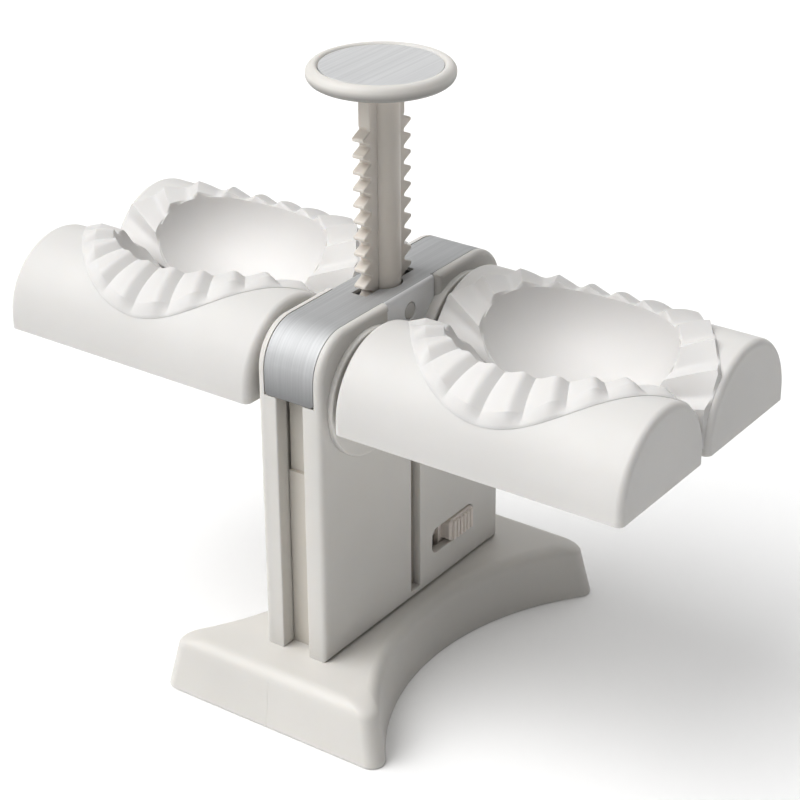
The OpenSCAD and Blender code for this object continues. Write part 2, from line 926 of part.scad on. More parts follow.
module wing_blank() {
    intersection() {
        rotate([0, 90, 0])
            rotate_extrude($fn = 128)
                wing_profile();
        block([0, -wing_radius - cut, 0], [wing_end + cut, wing_radius + cut, wing_radius + cut]);
    }
    translate([0, 0, -wing_skirt])
        linear_extrude(wing_skirt)
            rotate(-90)
                for (side = [0, 1])
                    mirror([side, 0])
                        wing_profile();
}

module wing_right() {
    difference() {
        translate([0, shaft_y, shaft_height])
            wing_blank();
        bowl(0);
        // Hollow under the bowl, open below
        difference() {
            intersection() {
                translate([0, shaft_y, shaft_height])
                    along_x(plate_start, plate_end)
                        wing_section(wing_wall);
                block(
                    [plate_start, plate_inner_y, wing_floor + wing_plate],
                    [plate_end, plate_outer_y + cut, shaft_height + wing_radius]
                );
            }
            bowl(wing_wall);
            for (x = plate_screw_x)
                translate([x, plate_screw_y, wing_floor])
                    cylinder(h = 2 * wing_radius, r = post_radius);
        }
        block(
            [plate_start, plate_inner_y, wing_floor - cut],
            [plate_end, plate_outer_y, wing_floor + wing_plate]
        );
        for (x = plate_screw_x)
            translate([x, plate_screw_y, wing_floor])
                cylinder(h = screw_head_depth + plate_screw_length + 1, r = screw_radius + seat_play);
        translate([0, shaft_y, shaft_height])
            along_x(wing_start - cut, wing_start + socket_length + 0.3)
                d_section(seat_play / 2);
    }
}

module plate_right() {
    difference() {
        block(
            [plate_start + seat_play, plate_inner_y + seat_play, wing_floor],
            [plate_end - seat_play, plate_outer_y - seat_play, wing_floor + wing_plate]
        );
        for (x = plate_screw_x)
            translate([x, plate_screw_y, wing_floor - cut]) {
                cylinder(h = screw_head_depth + cut, r = screw_head + seat_play);
                cylinder(h = wing_plate + 2 * cut, r = screw_radius + seat_play);
            }
    }
}

module plate_screws() {
    for (x = plate_screw_x)
        translate([x, plate_screw_y, wing_floor])
            screw(plate_screw_length);
}

// Mould rims

rim_seat = 0.1;
rim_rows = 5;
skin_radius = wing_radius + rim_thickness;
rim_draw = (mould_reach - mould_shoulder) / pow(mould_half, 2);

// Outer edge of the rim: how far it lies from the middle of the seam in the direction a
function crown_root(a) = sqrt(pow(sin(a), 2) + 4 * mould_reach * rim_draw * pow(cos(a), 2));
function crown_edge(a) = 2 * mould_reach / (sin(a) + crown_root(a));
function outer_edge(a) = min(crown_edge(a), mould_half / max(0.001, abs(cos(a))));

// How far a point of the skin lies inside the bowl, from its place along the wing and round it
function skin_angle(s) = s / skin_radius * 180 / PI;
function in_bowl(x, s) = abs(x) < bowl_half && bowl_width(x) > norm([
    shaft_y - skin_radius * cos(skin_angle(s)),
    skin_radius * sin(skin_angle(s)) - bowl_rise
]);
function edge_search(a, low, high, steps) = let (mid = (low + high) / 2)
    steps == 0 ? mid
    : in_bowl(mid * cos(a), mid * sin(a)) ? edge_search(a, mid, high, steps - 1)
    : edge_search(a, low, mid, steps - 1);
function inner_edge(a) = edge_search(a, 10, outer_edge(a), 20);

// Fold lines of the pleats: direction from the middle of the seam and height
pleat_angle = 180 / pleat_count;
pleat_folds = [[0, 0], [pleat_steep, 1], [(1 + pleat_steep) / 2, 0.5]];
folds = concat(
    [
        for (k = [0 : pleat_count - 1])
            for (f = pleat_folds)
                [pleat_angle * (k + f[0]), f[1]]
    ],
    [[180, 0]]
);
function on_skin(x, s, radius) = [
    mould_x + x,
    shaft_y - radius * cos(skin_angle(s)),
    shaft_height + radius * sin(skin_angle(s))
];
function rim_point(fold, j, radius) = let (
    a = fold[0],
    inner = inner_edge(a),
    reach = outer_edge(a) + (inner - outer_edge(a)) * j / rim_rows
) on_skin(reach * cos(a), reach * sin(a), radius);
function fold_height(fold, raised) = pleat_height * (raised ? fold[1] : 1 - fold[1]);

// One half of a mould's rim, with its pleats raised where the other half's are sunk
module rim_right(raised) {
    rows = rim_rows + 1;
    count = len(folds) * rows;
    last = len(folds) - 1;
    top_points = [
        for (f = folds)
            for (j = [0 : rim_rows])
                rim_point(f, j, skin_radius + fold_height(f, raised))
    ];
    seat_points = [
        for (f = folds)
            for (j = [0 : rim_rows])
                rim_point(f, j, wing_radius + rim_seat)
    ];
    top = [
        for (i = [0 : last - 1])
            for (j = [0 : rim_rows - 1])
                let (p = i * rows + j, q = p + rows)
                    for (t = [[p, p + 1, q + 1], [p, q + 1, q]])
                        t
    ];
    seat = [for (t = top) [count + t[0], count + t[2], count + t[1]]];
    outer_wall = [
        for (i = [0 : last - 1])
            let (p = i * rows, q = p + rows)
                for (t = [[p, q, count + q], [p, count + q, count + p]])
                    t
    ];
    inner_wall = [
        for (i = [0 : last - 1])
            let (p = i * rows + rim_rows, q = p + rows)
                for (t = [[q, p, count + p], [q, count + p, count + q]])
                    t
    ];
    first_end = [
        for (j = [0 : rim_rows - 1])
            for (t = [[j + 1, j, count + j], [j + 1, count + j, count + j + 1]])
                t
    ];
    last_end = [
        for (j = [0 : rim_rows - 1])
            let (p = last * rows + j)
                for (t = [[p, p + 1, count + p + 1], [p, count + p + 1, count + p]])
                    t
    ];
    polyhedron(
        concat(top_points, seat_points),
        concat(top, seat, outer_wall, inner_wall, first_end, last_end),
        convexity = 10
    );
}

// The rear roller and its mirror image at the front

module rear_shaft() shaft();
module rear_pinion() pinion();
module rear_washers() washers();

module rear_wing_right() {
    color("ivory")
        wing_right();
}

module rear_wing_left() {
    color("ivory")
        mirror([1, 0, 0])
            wing_right();
}

module rear_rim_right() {
    color("white")
        rim_right(false);
}

module rear_rim_left() {
    color("white")
        translate([-2 * mould_x, 0, 0])
            rim_right(false);
}

module rear_plates() {
    color("gainsboro")
        both_sides()
            plate_right();
}

module rear_screws() {
    color("silver")
        both_sides()
            plate_screws();
}

module front_shaft() mirror([0, 1, 0]) shaft();
module front_pinion() mirror([0, 1, 0]) pinion();
module front_washers() mirror([0, 1, 0]) washers();
module front_wing_right() mirror([0, 1, 0]) rear_wing_right();
module front_wing_left() mirror([0, 1, 0]) rear_wing_left();
module front_plates() mirror([0, 1, 0]) rear_plates();
module front_screws() mirror([0, 1, 0]) rear_screws();

module front_rim_right() {
    color("white")
        mirror([0, 1, 0])
            rim_right(true);
}

module front_rim_left() {
    color("white")
        mirror([0, 1, 0])
            translate([-2 * mould_x, 0, 0])
                rim_right(true);
}

base();
bottom_cover();
foot_pads();
base_screws();
column_screws();
column_left();
column_right();
guide_block();
steel_cover();
shaft_bushes();
spring_post();
plunger_rod();
knob();
knob_disc();
knob_screw();
return_spring();
lock_slider();
front_shaft();
front_pinion();
front_washers();
front_wing_left();
front_wing_right();
front_rim_left();
front_rim_right();
front_plates();
front_screws();
rear_shaft();
rear_pinion();
rear_washers();
rear_wing_left();
rear_wing_right();
rear_rim_left();
rear_rim_right();
rear_plates();
rear_screws();
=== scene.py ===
import json
import math

import bmesh
import bpy
from mathutils import Matrix, Vector
from mathutils.geometry import tessellate_polygon


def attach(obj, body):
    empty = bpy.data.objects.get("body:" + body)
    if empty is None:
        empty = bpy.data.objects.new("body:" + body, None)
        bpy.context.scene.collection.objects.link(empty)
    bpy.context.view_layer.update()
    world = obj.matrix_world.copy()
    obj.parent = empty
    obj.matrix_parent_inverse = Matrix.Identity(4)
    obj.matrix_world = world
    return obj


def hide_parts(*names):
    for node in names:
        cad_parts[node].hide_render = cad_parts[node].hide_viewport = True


# Sizes and places are in millimetres and angles in degrees, unless a comment says otherwise
MM = 0.001

# Camera, fitted to the photograph's corners
CAMERA_PLACE = (353.281, -486.787, 388.113)
CAMERA_YAW = 35.536
CAMERA_PITCH = 27.001
CAMERA_ROLL = -0.399
CAMERA_LENS = 103.5
SENSOR_WIDTH = 36

FLOOR_HALF = 40000.0
FLOOR_DROP = 0.2

# Sizes as in the CAD; the soft edges, ribs and pleats are finer here

# Base
BASE_DEPTH = 120.0
BASE_WIDTH = 88.0
BASE_WAIST = 38.0
BASE_HEIGHT = 18.0
BASE_CORNER = 4.0
BASE_EDGE = 4.0
BASE_FLARE = 1.5
BASE_WALL = 2.5
BASE_TOP = 3.0
WAIST_DIP = (BASE_WIDTH - BASE_WAIST) / 2
WAIST_RADIUS = ((BASE_DEPTH / 2) ** 2 + WAIST_DIP ** 2) / (2 * WAIST_DIP)
WAIST_CENTRE = BASE_WAIST / 2 + WAIST_RADIUS
WAIST_STEPS = 28
CORNER_STEPS = 12
BASE_EDGE_STEPS = 8
FOOT_LEVELS = ((0, 0.35), (0.15, 0.1), (0.5, 0.05))
PARTING_HALF = 0.3
PARTING_DEPTH = 0.16
PARTING_INSET = BASE_FLARE + 0.5

# Column
HALF_WIDTH = 11.1
HALF_DEPTH = 45.0
HALF_CHANNEL = 4.5
CHANNEL_EDGE = 0.5
SHELL_WALL = 2.6
COLUMN_EDGE = 1.8
HEAD_HEIGHT = 120.0
HEAD_ROUND = 13.0
HEAD_STEPS = 14
BOSS_RADIUS = 19.0
BOSS_FACE = HALF_WIDTH + 1.7
BOSS_EDGE = 0.6
CHAMBER_X = HALF_WIDTH - SHELL_WALL
SLOT_HALF = 2.1
SLOT_FLOOR = 21.0
SLOT_DROP = 25.8
SLOT_SOFTNESS = 0.22
BORE_SOFTNESS = 0.1

# Steel cover
COVER_X = 8.45
COVER_SHEET = 1.0
COVER_FLOOR = 100.0
COVER_CORNER = 1.2
COVER_SINK = COVER_SHEET + 0.1
COVER_BEND = COVER_SHEET + 0.5
COVER_EDGE = 0.22
RIM_X = COVER_X + 0.2
RIB_FLOOR = COVER_FLOOR - 0.2
FLAP_X = COVER_X + COVER_SHEET
FLAP_HALF = 12.0
FLAP_FLOOR = HEAD_HEIGHT - 13.0
FLAP_EDGE = 0.2
NOTCH_GAP = 0.2
NOTCH_CORNER = 0.6
NOTCH_RUN = 2
SNAP_RADIUS = 2.4
SNAP_GAP = 0.2
SNAP_EDGE = 0.3
SNAP_Z = HEAD_HEIGHT - 7.0

# Shafts and racks
SHAFT_Y = 23.1
SHAFT_Z = 97.8
SLOT_TOP = SHAFT_Z - SLOT_DROP
BUSH_RADIUS = 6.5
BUSH_SEAT = BUSH_RADIUS + 0.05
BUSH_BEVEL = 0.3
MODULE = 1.55
PINION_TEETH = 17
PRESSURE_ANGLE = 25.0
TOOTH_PLAY = 0.16
TOOTH_PITCH = math.pi * MODULE
PITCH_RADIUS = MODULE * PINION_TEETH / 2
STROKE = math.pi * PITCH_RADIUS
CHAMBER_Y = SHAFT_Y + PITCH_RADIUS + 0.9 * MODULE + 2.45
CHAMBER_TOP = SHAFT_Z + PITCH_RADIUS + 0.9 * MODULE + 2
RACK_LINE = SHAFT_Y - PITCH_RADIUS
RACK_TIP = RACK_LINE + 0.95 * MODULE
RACK_ROOT = RACK_LINE - 1.2 * MODULE
RACK_BOTTOM = SHAFT_Z - 3.5 * TOOTH_PITCH
ROOT_SOFT = 0.5
TIP_SOFT = 0.45

# Plunger and knob
TOTAL_HEIGHT = 185.0
KNOB_RADIUS = 20.9
KNOB_THICKNESS = 4.8
KNOB_EDGE = 2.3
KNOB_LIP = 1.1
KNOB_SEAT = 0.8
KNOB_FLOOR = TOTAL_HEIGHT - KNOB_THICKNESS
DISC_RADIUS = 17.4
DISC_SEAT = DISC_RADIUS + 0.05
DISC_THICKNESS = 0.8
DISC_RECESS = 0.4
DISC_TOP = TOTAL_HEIGHT - DISC_RECESS
DISC_FLOOR = DISC_TOP - DISC_THICKNESS
DISC_EDGE = 0.2
DISC_BEVEL = 0.06
STEM_RADIUS = 5.2
STEM_EDGE = 0.4
FIN_THICKNESS = 4.0
FIN_EDGE = 0.4
FIN_NECK = 8.4
FIN_ROOT = STEM_RADIUS - 0.5
NECK_LENGTH = 11
RACK_TEETH = int((KNOB_FLOOR - NECK_LENGTH - RACK_BOTTOM) / TOOTH_PITCH)
ROD_BOTTOM = BASE_HEIGHT + 2 + 1.5 + STROKE
ROD_GAP = 0.4
ROD_SLOT_X = FIN_THICKNESS / 2 + ROD_GAP
ROD_SLOT_Y = RACK_TIP + ROD_GAP
BORE_RADIUS = 3.9
BORE_TOP = ROD_BOTTOM + 48

# Lock
LOCK_Z = 32.5
LOCK_START = 9.0
LOCK_LENGTH = 21.5
LOCK_HALF = 4.0
LOCK_CORNER = 2.2
LOCK_GAP = 0.2
LOCK_TRAVEL = 7.0
BUTTON_STAND = 1.5
BUTTON_HALF = LOCK_HALF - LOCK_GAP
BUTTON_BACK = LOCK_START + LOCK_LENGTH - LOCK_GAP
BUTTON_FRONT = BUTTON_BACK - 13.1
BUTTON_SINK = 0.85
RIB_COUNT = 6
RIB_HALF = 0.58
RIB_DEPTH = 1.2
CATCH_Y = STEM_RADIUS + 0.6
CATCH_Z = LOCK_Z + STROKE
CATCH_PLAY = 0.4
TONGUE_HALF = 1.6
CATCH_HALF = TONGUE_HALF + CATCH_PLAY
TONGUE_FRONT = CATCH_Y + CATCH_PLAY + LOCK_TRAVEL
TONGUE_THICKNESS = 3.6
PLATE_FRONT = TONGUE_FRONT + 2.6
PLATE_LAP = 1.5

# Moulds: places and radii as in the CAD, pleats and edges fitted to the photograph again
WING_RADIUS = 21.7
RIM_THICKNESS = 0.6
SKIN_RADIUS = WING_RADIUS + RIM_THICKNESS
MOULD_X = 60.0
MOULD_HALF = 44.3
MOULD_REACH = 58.0
MOULD_SHOULDER = 20.0
BOWL_HALF = 34.0
BOWL_RADIUS = 28.7
BOWL_RISE = 27.6
BOWL_POWER = 2.1
BOWL_SKIN = 0.3
PLEAT_COUNT = 14
PLEAT_HEIGHT = 1.6
PLEAT_STEEP = 0.32
VALLEY_DEPTH = 0.3
RIDGE_SOFT = 0.6
FRONT_SLOPE = 4.2
REAR_SLOPE = 0.6
SEAM_FADE = 18.0
SEAM_START = 0.6
SEAM_HEM = 1.1
SEAM_GAP = 0.8
MOULD_SHARP = 16

# Where the lines of points lie over a pleat, and their rows: over the rim, first by distance
# from its border and then by share of the rest, and in the bowl by share of its half width
PLEAT_STEPS = (0.0, 0.04, 0.11, 0.18, 0.22, 0.26, 0.29, 0.32, 0.35, 0.39, 0.44, 0.52, 0.64, 0.77,
               0.89)
RIM_STARTS = (0.0, 0.2, 0.4, 0.6, 1.0, 1.8, 2.6, 3.4, 4.0, 4.2, 4.4)
RIM_ROWS = (0.12, 0.25, 0.4, 0.55, 0.7, 0.82, 0.91, 0.96, 1.0)
BOWL_ROWS = (0.99, 0.97, 0.94, 0.9, 0.85, 0.8, 0.72, 0.64, 0.56, 0.48, 0.4, 0.32, 0.24, 0.16, 0.08,
             0.02)


# Mesh helpers

def new_object(name, vertices, faces, smooth=True):
    mesh = bpy.data.meshes.new(name)
    mesh.from_pydata([Vector(v) * MM for v in vertices], [], faces)
    mesh.update()
    piece = bpy.data.objects.new(name, mesh)
    bpy.context.scene.collection.objects.link(piece)
    if smooth:
        mesh.shade_smooth()
    return piece


def clean_normals(piece):
    work = bmesh.new()
    work.from_mesh(piece.data)
    bmesh.ops.recalc_face_normals(work, faces=work.faces)
    work.to_mesh(piece.data)
    work.free()
    piece.data.update()


def sharp_by_angle(piece, degrees):
    piece.data.set_sharp_from_angle(angle=math.radians(degrees))


def dress(piece, body, slot, materials, *nodes):
    """Gives a piece its material and body, and puts it in the place of its CAD nodes."""
    piece.data.materials.clear()
    piece.data.materials.append(materials[slot])
    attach(piece, body)
    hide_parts(*nodes)


def arc(cx, cy, radius, start, end, steps):
    return [
        (cx + radius * math.cos(math.radians(start + (end - start) * i / steps)),
         cy + radius * math.sin(math.radians(start + (end - start) * i / steps)))
        for i in range(steps + 1)
    ]


def along_x(u, v, w):
    return (w, u, v)


def along_minus_x(u, v, w):
    return (-w, u, v)


def along_z(u, v, w):
    return (u, v, w)


def unit(x, y):
    length = max(1e-9, math.hypot(x, y))
    return x / length, y / length


def band(low, high, count):
    """Quads between two rings of points, which start at low and at high."""
    return [(low + i, low + (i + 1) % count, high + (i + 1) % count, high + i)
            for i in range(count)]


def cap(loops, starts):
    """Triangles of the flat face between loops, whose points start at starts."""
    places = [start + i for loop, start in zip(loops, starts) for i in range(len(loop))]
    triangles = tessellate_polygon([[Vector((u, v, 0)) for u, v in loop] for loop in loops])
    return [tuple(places[k] for k in triangle) for triangle in triangles]


def offset_loop(loop, inset):
    """A closed loop moved to its left: inwards for an outline, into the material for a hole."""
    if not inset:
        return list(loop)
    moved = []
    for i, (x, y) in enumerate(loop):
        before, after = loop[i - 1], loop[(i + 1) % len(loop)]
        ax, ay = unit(x - before[0], y - before[1])
        bx, by = unit(after[0] - x, after[1] - y)
        nx, ny = -(ay + by), ax + bx
        scale = 2 * inset / max(0.5, nx * nx + ny * ny)
        moved.append((x + nx * scale, y + ny * scale))
    return moved


def soft_levels(low, high, low_radius, high_radius, steps=5):
    """Heights and insets of a plate with rounded edges."""
    levels = []
    for i in range(steps + 1):
        a = math.pi / 2 * i / steps
        levels.append((low + low_radius * (1 - math.cos(a)), low_radius * (1 - math.sin(a))))
    for i in range(steps + 1):
        a = math.pi / 2 * (1 - i / steps)
        levels.append((high - high_radius * (1 - math.cos(a)), high_radius * (1 - math.sin(a))))
    clean = [levels[0]]
    for level in levels[1:]:
        if math.dist(level, clean[-1]) > 1e-6:
            clean.append(level)
    return clean


def slab(name, loops, levels, axis, softness=None):
    """A plate between its levels, with an outline and holes; softness scales a loop's insets."""
    softness = softness or [1.0] * len(loops)
    vertices, faces, starts, flats = [], [], [], []
    for height, inset in levels:
        moved = [offset_loop(loop, inset * share) for loop, share in zip(loops, softness)]
        flats.append(moved)
        starts.append([])
        for loop in moved:
            starts[-1].append(len(vertices))
            vertices += [axis(u, v, height) for u, v in loop]
    for low, high in zip(starts, starts[1:]):
        for loop, a, b in zip(loops, low, high):
            faces += band(a, b, len(loop))
    for k in (0, -1):
        faces += cap(flats[k], starts[k])
    return new_object(name, vertices, faces)


def filleted(corners, steps=4):
    """A closed outline from corners (x, y, radius), each corner turned into an arc."""
    points = []
    for i, (x, y, radius) in enumerate(corners):
        px, py, _ = corners[i - 1]
        nx, ny, _ = corners[(i + 1) % len(corners)]
        ax, ay = unit(x - px, y - py)
        bx, by = unit(nx - x, ny - y)
        turn = math.atan2(ax * by - ay * bx, ax * bx + ay * by)
        if radius <= 0 or abs(turn) < 0.02:
            points.append((x, y))
            continue
        reach = radius * math.tan(abs(turn) / 2)
        reach = min(reach, 0.48 * math.hypot(x - px, y - py), 0.48 * math.hypot(nx - x, ny - y))
        radius = reach / math.tan(abs(turn) / 2)
        side = 1 if turn > 0 else -1
        cx = x - ax * reach - ay * radius * side
        cy = y - ay * reach + ax * radius * side
        start = math.atan2(y - ay * reach - cy, x - ax * reach - cx)
        points += [(cx + radius * math.cos(start + turn * k / steps),
                    cy + radius * math.sin(start + turn * k / steps)) for k in range(steps + 1)]
    return points


def circle_loop(x, y, radius, steps=40):
    """A round hole."""
    return [(x + radius * math.cos(-2 * math.pi * i / steps),
             y + radius * math.sin(-2 * math.pi * i / steps)) for i in range(steps)]


def box_loop(x0, y0, x1, y1, radius=0.0, hole=False, steps=4):
    corners = [(x0, y0, radius), (x1, y0, radius), (x1, y1, radius), (x0, y1, radius)]
    loop = filleted(corners, steps)
    return loop[::-1] if hole else loop


def soft_box(name, low, high, radius):
    """A box with rounded upright corners and rounded top and bottom edges."""
    return slab(name, [box_loop(low[0], low[1], high[0], high[1], radius)],
                soft_levels(low[2], high[2], radius, radius, 3), along_z)


def joined(name, pieces, sharp=40):
    """One object from several, with flat faces kept flat."""
    work = bmesh.new()
    for piece in pieces:
        work.from_mesh(piece.data)
        bpy.data.objects.remove(piece)
    bmesh.ops.remove_doubles(work, verts=work.verts, dist=1e-6)
    bmesh.ops.recalc_face_normals(work, faces=work.faces)
    mesh = bpy.data.meshes.new(name)
    work.to_mesh(mesh)
    work.free()
    mesh.shade_smooth()
    whole = bpy.data.objects.new(name, mesh)
    bpy.context.scene.collection.objects.link(whole)
    sharp_by_angle(whole, sharp)
    whole.modifiers.new("flat_faces", "WEIGHTED_NORMAL").keep_sharp = True
    return whole


def turned(name, profile, steps, axis, centre=(0.0, 0.0)):
    """A lathe body about an axis through the centre; the profile gives radius and height."""
    vertices, faces = [], []
    count = len(profile)
    for i in range(steps):
        a = 2 * math.pi * i / steps
        vertices += [axis(centre[0] + r * math.cos(a), centre[1] + r * math.sin(a), h)
                     for r, h in profile]
    for i in range(steps):
        j = (i + 1) % steps
        faces += [(i * count + k, j * count + k, j * count + k + 1, i * count + k + 1)
                  for k in range(count - 1)]
    return new_object(name, vertices, faces)


# Camera, floor and light

def set_inputs(node, **values):
    """Sets a node's own sockets; an underscore stands for a space."""
    for key, value in values.items():
        node.inputs[key.replace("_", " ")].default_value = value


def add_camera():
    yaw, pitch, roll = (math.radians(v) for v in (CAMERA_YAW, CAMERA_PITCH, CAMERA_ROLL))
    back = Vector((math.sin(yaw) * math.cos(pitch), -math.cos(yaw) * math.cos(pitch),
                   math.sin(pitch)))
    right = Vector((math.cos(yaw), math.sin(yaw), 0))
    up = back.cross(right)
    right_rolled = right * math.cos(roll) + up * math.sin(roll)
    up_rolled = up * math.cos(roll) - right * math.sin(roll)
    turn = Matrix((right_rolled, up_rolled, back)).transposed().to_4x4()
    data = bpy.data.cameras.new("camera")
    data.lens = CAMERA_LENS
    data.sensor_width = SENSOR_WIDTH
    data.clip_start = 0.01
    camera = bpy.data.objects.new("camera", data)
    camera.matrix_world = Matrix.Translation(Vector(CAMERA_PLACE) * MM) @ turn
    bpy.context.scene.collection.objects.link(camera)
    bpy.context.scene.camera = camera


def add_floor():
    half = FLOOR_HALF
    corners = [(-half, -half, 0), (half, -half, 0), (half, half, 0), (-half, half, 0)]
    piece = new_object("floor", corners, [(0, 1, 2, 3)], smooth=False)
    piece.location.z = -FLOOR_DROP * MM
    material = bpy.data.materials.new("floor_paper")
    material.use_nodes = True
    set_inputs(material.node_tree.nodes["Principled BSDF"], Base_Color=(0.86, 0.86, 0.86, 1),
               Roughness=0.9, Specular_IOR_Level=0.1, Emission_Color=(1, 1, 1, 1),
               Emission_Strength=0.10)
    piece.data.materials.append(material)


def place_light(name, data, place, target):
    light = bpy.data.objects.new(name, data)
    light.location = Vector(place)
    light.rotation_euler = (Vector(target) - Vector(place)).to_track_quat("-Z", "Y").to_euler()
    bpy.context.scene.collection.objects.link(light)


def add_sun(name, towards, angle, strength):
    data = bpy.data.lights.new(name, "SUN")
    data.angle = math.radians(angle)
    data.energy = strength
    place_light(name, data, towards, (0, 0, 0))


def add_panel(name, place, target, size, power):
    """A rectangular light, placed in metres."""
    data = bpy.data.lights.new(name, "AREA")
    data.shape = "RECTANGLE"
    data.size, data.size_y = size
    data.energy = power
    place_light(name, data, place, target)


def add_studio():
    world = bpy.data.worlds.new("studio")
    world.use_nodes = True
    set_inputs(world.node_tree.nodes["Background"], Color=(1.0, 0.985, 0.97, 1), Strength=0.08)
    scene = bpy.context.scene
    scene.world = world
    scene.view_settings.view_transform = "Standard"
    scene.view_settings.gamma = 0.75
    add_sun("key", towards=(-0.40, -0.52, 0.755), angle=60, strength=2.55)
    add_sun("top", towards=(0.02, 0.08, 1.0), angle=85, strength=1.2)
    add_panel("backdrop", place=(-0.25, 1.2, 0.65), target=(0, 0, 0.09), size=(2.2, 0.8),
              power=4.4)


# Materials

def tone(colour, share):
    """A colour made darker or paler by a share."""
    return tuple(min(1, c * share) for c in colour)


class Paint:
    """One procedural material: a shader, with noise on its colour, roughness and bump."""

    def __init__(self, name, colour, roughness, metallic=0.0):
        self.material = bpy.data.materials.new(name)
        self.material.use_nodes = True
        self.tree = self.material.node_tree
        self.shader = self.tree.nodes["Principled BSDF"]
        set_inputs(self.shader, Base_Color=(*colour, 1), Roughness=roughness, Metallic=metallic)
        self.coordinates = self.tree.nodes.new("ShaderNodeTexCoord").outputs["Object"]

    def node(self, kind, **inputs):
        made = self.tree.nodes.new(kind)
        set_inputs(made, **inputs)
        return made

    def link(self, output, target):
        self.tree.links.new(output, target)

    def mapped(self, scale, turn=(0, 0, 0)):
        made = self.node("ShaderNodeMapping", Scale=scale, Rotation=turn)
        self.link(self.coordinates, made.inputs["Vector"])
        return made.outputs["Vector"]

    def noise(self, scale, detail=3.0, vector=None, roughness=0.5):
        made = self.node("ShaderNodeTexNoise", Scale=scale, Detail=detail, Roughness=roughness)
        self.link(vector or self.coordinates, made.inputs["Vector"])
        return made.outputs["Fac"]

    def spread(self, value, low, high, to_low, to_high):
        """A value from low to high turned into one from to_low to to_high."""
        made = self.node("ShaderNodeMapRange", From_Min=low, From_Max=high, To_Min=to_low,
                         To_Max=to_high)
        self.link(value, made.inputs["Value"])
        return made.outputs["Result"]

    def place(self, axis):
        """The place on the object along one axis, in metres."""
        made = self.node("ShaderNodeSeparateXYZ")
        self.link(self.coordinates, made.inputs["Vector"])
        return made.outputs[axis]

    def blend(self, value, first, second):
        made = self.tree.nodes.new("ShaderNodeMix")
        made.data_type = "RGBA"
        sockets = {socket.identifier: socket for socket in made.inputs}
        for key, colour in (("A_Color", first), ("B_Color", second)):
            if isinstance(colour, tuple):
                sockets[key].default_value = (*colour, 1)
            else:
                self.link(colour, sockets[key])
        self.link(value, sockets["Factor_Float"])
        return next(socket for socket in made.outputs if socket.identifier == "Result_Color")

    def bump(self, value, strength, distance):
        made = self.node("ShaderNodeBump", Strength=strength, Distance=distance)
        self.link(value, made.inputs["Height"])
        return made.outputs["Normal"]

    def finish(self, colour=None, roughness=None, normal=None):
        for output, name in ((colour, "Base Color"), (roughness, "Roughness"), (normal, "Normal")):
            if output is not None:
                self.link(output, self.shader.inputs[name])
        return self.material


def moulded_plastic(name, colour, roughness, grain=0.08, painted_shade=None):
    """Smooth moulded plastic with faint flow clouds and a very fine skin.

    shade is a start, a low and a high place in metres and a share, for a painted shadow: the
    colour times the share lies from start to low and fades out up to high, a painted darkening by
    height.
    """
    paint = Paint(name, colour, roughness)
    set_inputs(paint.shader, IOR=1.46, Subsurface_Weight=0.12, Subsurface_Radius=(1.0, 0.8, 0.6),
               Subsurface_Scale=0.003)
    clouds = paint.noise(18, 2)
    tint = paint.blend(paint.spread(clouds, 0.3, 0.7, 0, 1), tone(colour, 0.955),
                       tone(colour, 1.02))
    # Painted shadow: the colour is darker by height, from start and fading out up to high
    if painted_shade:
        start, low, high, share = painted_shade
        height = paint.place("Z")
        painted_dark = paint.blend(paint.spread(height, start - 0.0001, start, 0, 1), tint,
                           tone(colour, share))
        tint = paint.blend(paint.spread(height, low, high, 0, 1), painted_dark, tint)
    skin = paint.noise(900, 2)
    swirl = paint.noise(120, 3)
    gloss = paint.spread(swirl, 0.3, 0.7, roughness - 0.05, roughness + 0.06)
    return paint.finish(tint, gloss, paint.bump(skin, grain, 0.00008))


def brushed_steel(name, colour, roughness, angle=0, painted_low_shade=None, flap=None):
    """Brushed sheet with long fine streaks at an angle.

    fade is a low and a high place in metres and a share, for painted darkening: the colour times
    the share lies below low and fades out up to high, a painted dim reflection low on the sheet.
    flap is the place of the side flap and its painted light: a paler colour there, a painted
    reflection of the light that the flap would catch.
    """
    paint = Paint(name, colour, roughness, metallic=1.0)
    turn = (0, 0, math.radians(angle))
    streaks = paint.noise(1.0, 4, paint.mapped((5200, 45, 45), turn), 0.7)
    wide = paint.noise(1.0, 3, paint.mapped((1500, 14, 14), turn))
    tint = paint.blend(paint.spread(wide, 0.3, 0.7, 0, 1), tone(colour, 0.95), tone(colour, 1.04))
    # Painted darkening: low on the sheet the colour is darker, a painted dim reflection there
    if painted_low_shade:
        low, high, share = painted_low_shade
        tint = paint.blend(paint.spread(paint.place("Z"), low, high, 0, 1), tone(colour, share),
                           tint)
    # Painted light: beyond the flap's place the colour is paler, a painted reflection on the flaps
    if flap:
        side, painted_flap_light = flap
        tint = paint.blend(paint.spread(paint.place("X"), side - 0.0002, side, 0, 1), tint, painted_flap_light)
    gloss = paint.spread(streaks, 0.25, 0.75, roughness - 0.05, roughness + 0.08)
    return paint.finish(tint, gloss, paint.bump(streaks, 0.15, 0.00003))


def plain_steel(name, colour, roughness):
    """Ground steel for pins, screws and the spring."""
    paint = Paint(name, colour, roughness, metallic=1.0)
    grooves = paint.noise(1.0, 3, paint.mapped((250, 250, 4000)))
    gloss = paint.spread(grooves, 0.3, 0.7, roughness - 0.06, roughness + 0.1)
    tint = paint.blend(paint.noise(150, 2), tone(colour, 0.9), colour)
    return paint.finish(tint, gloss, paint.bump(grooves, 0.2, 0.00003))


def soft_rubber(name, colour, roughness):
    paint = Paint(name, colour, roughness)
    speckle = paint.noise(700, 4)
    tint = paint.blend(speckle, tone(colour, 0.8), tone(colour, 1.2))
    return paint.finish(tint, None, paint.bump(speckle, 0.4, 0.0001))


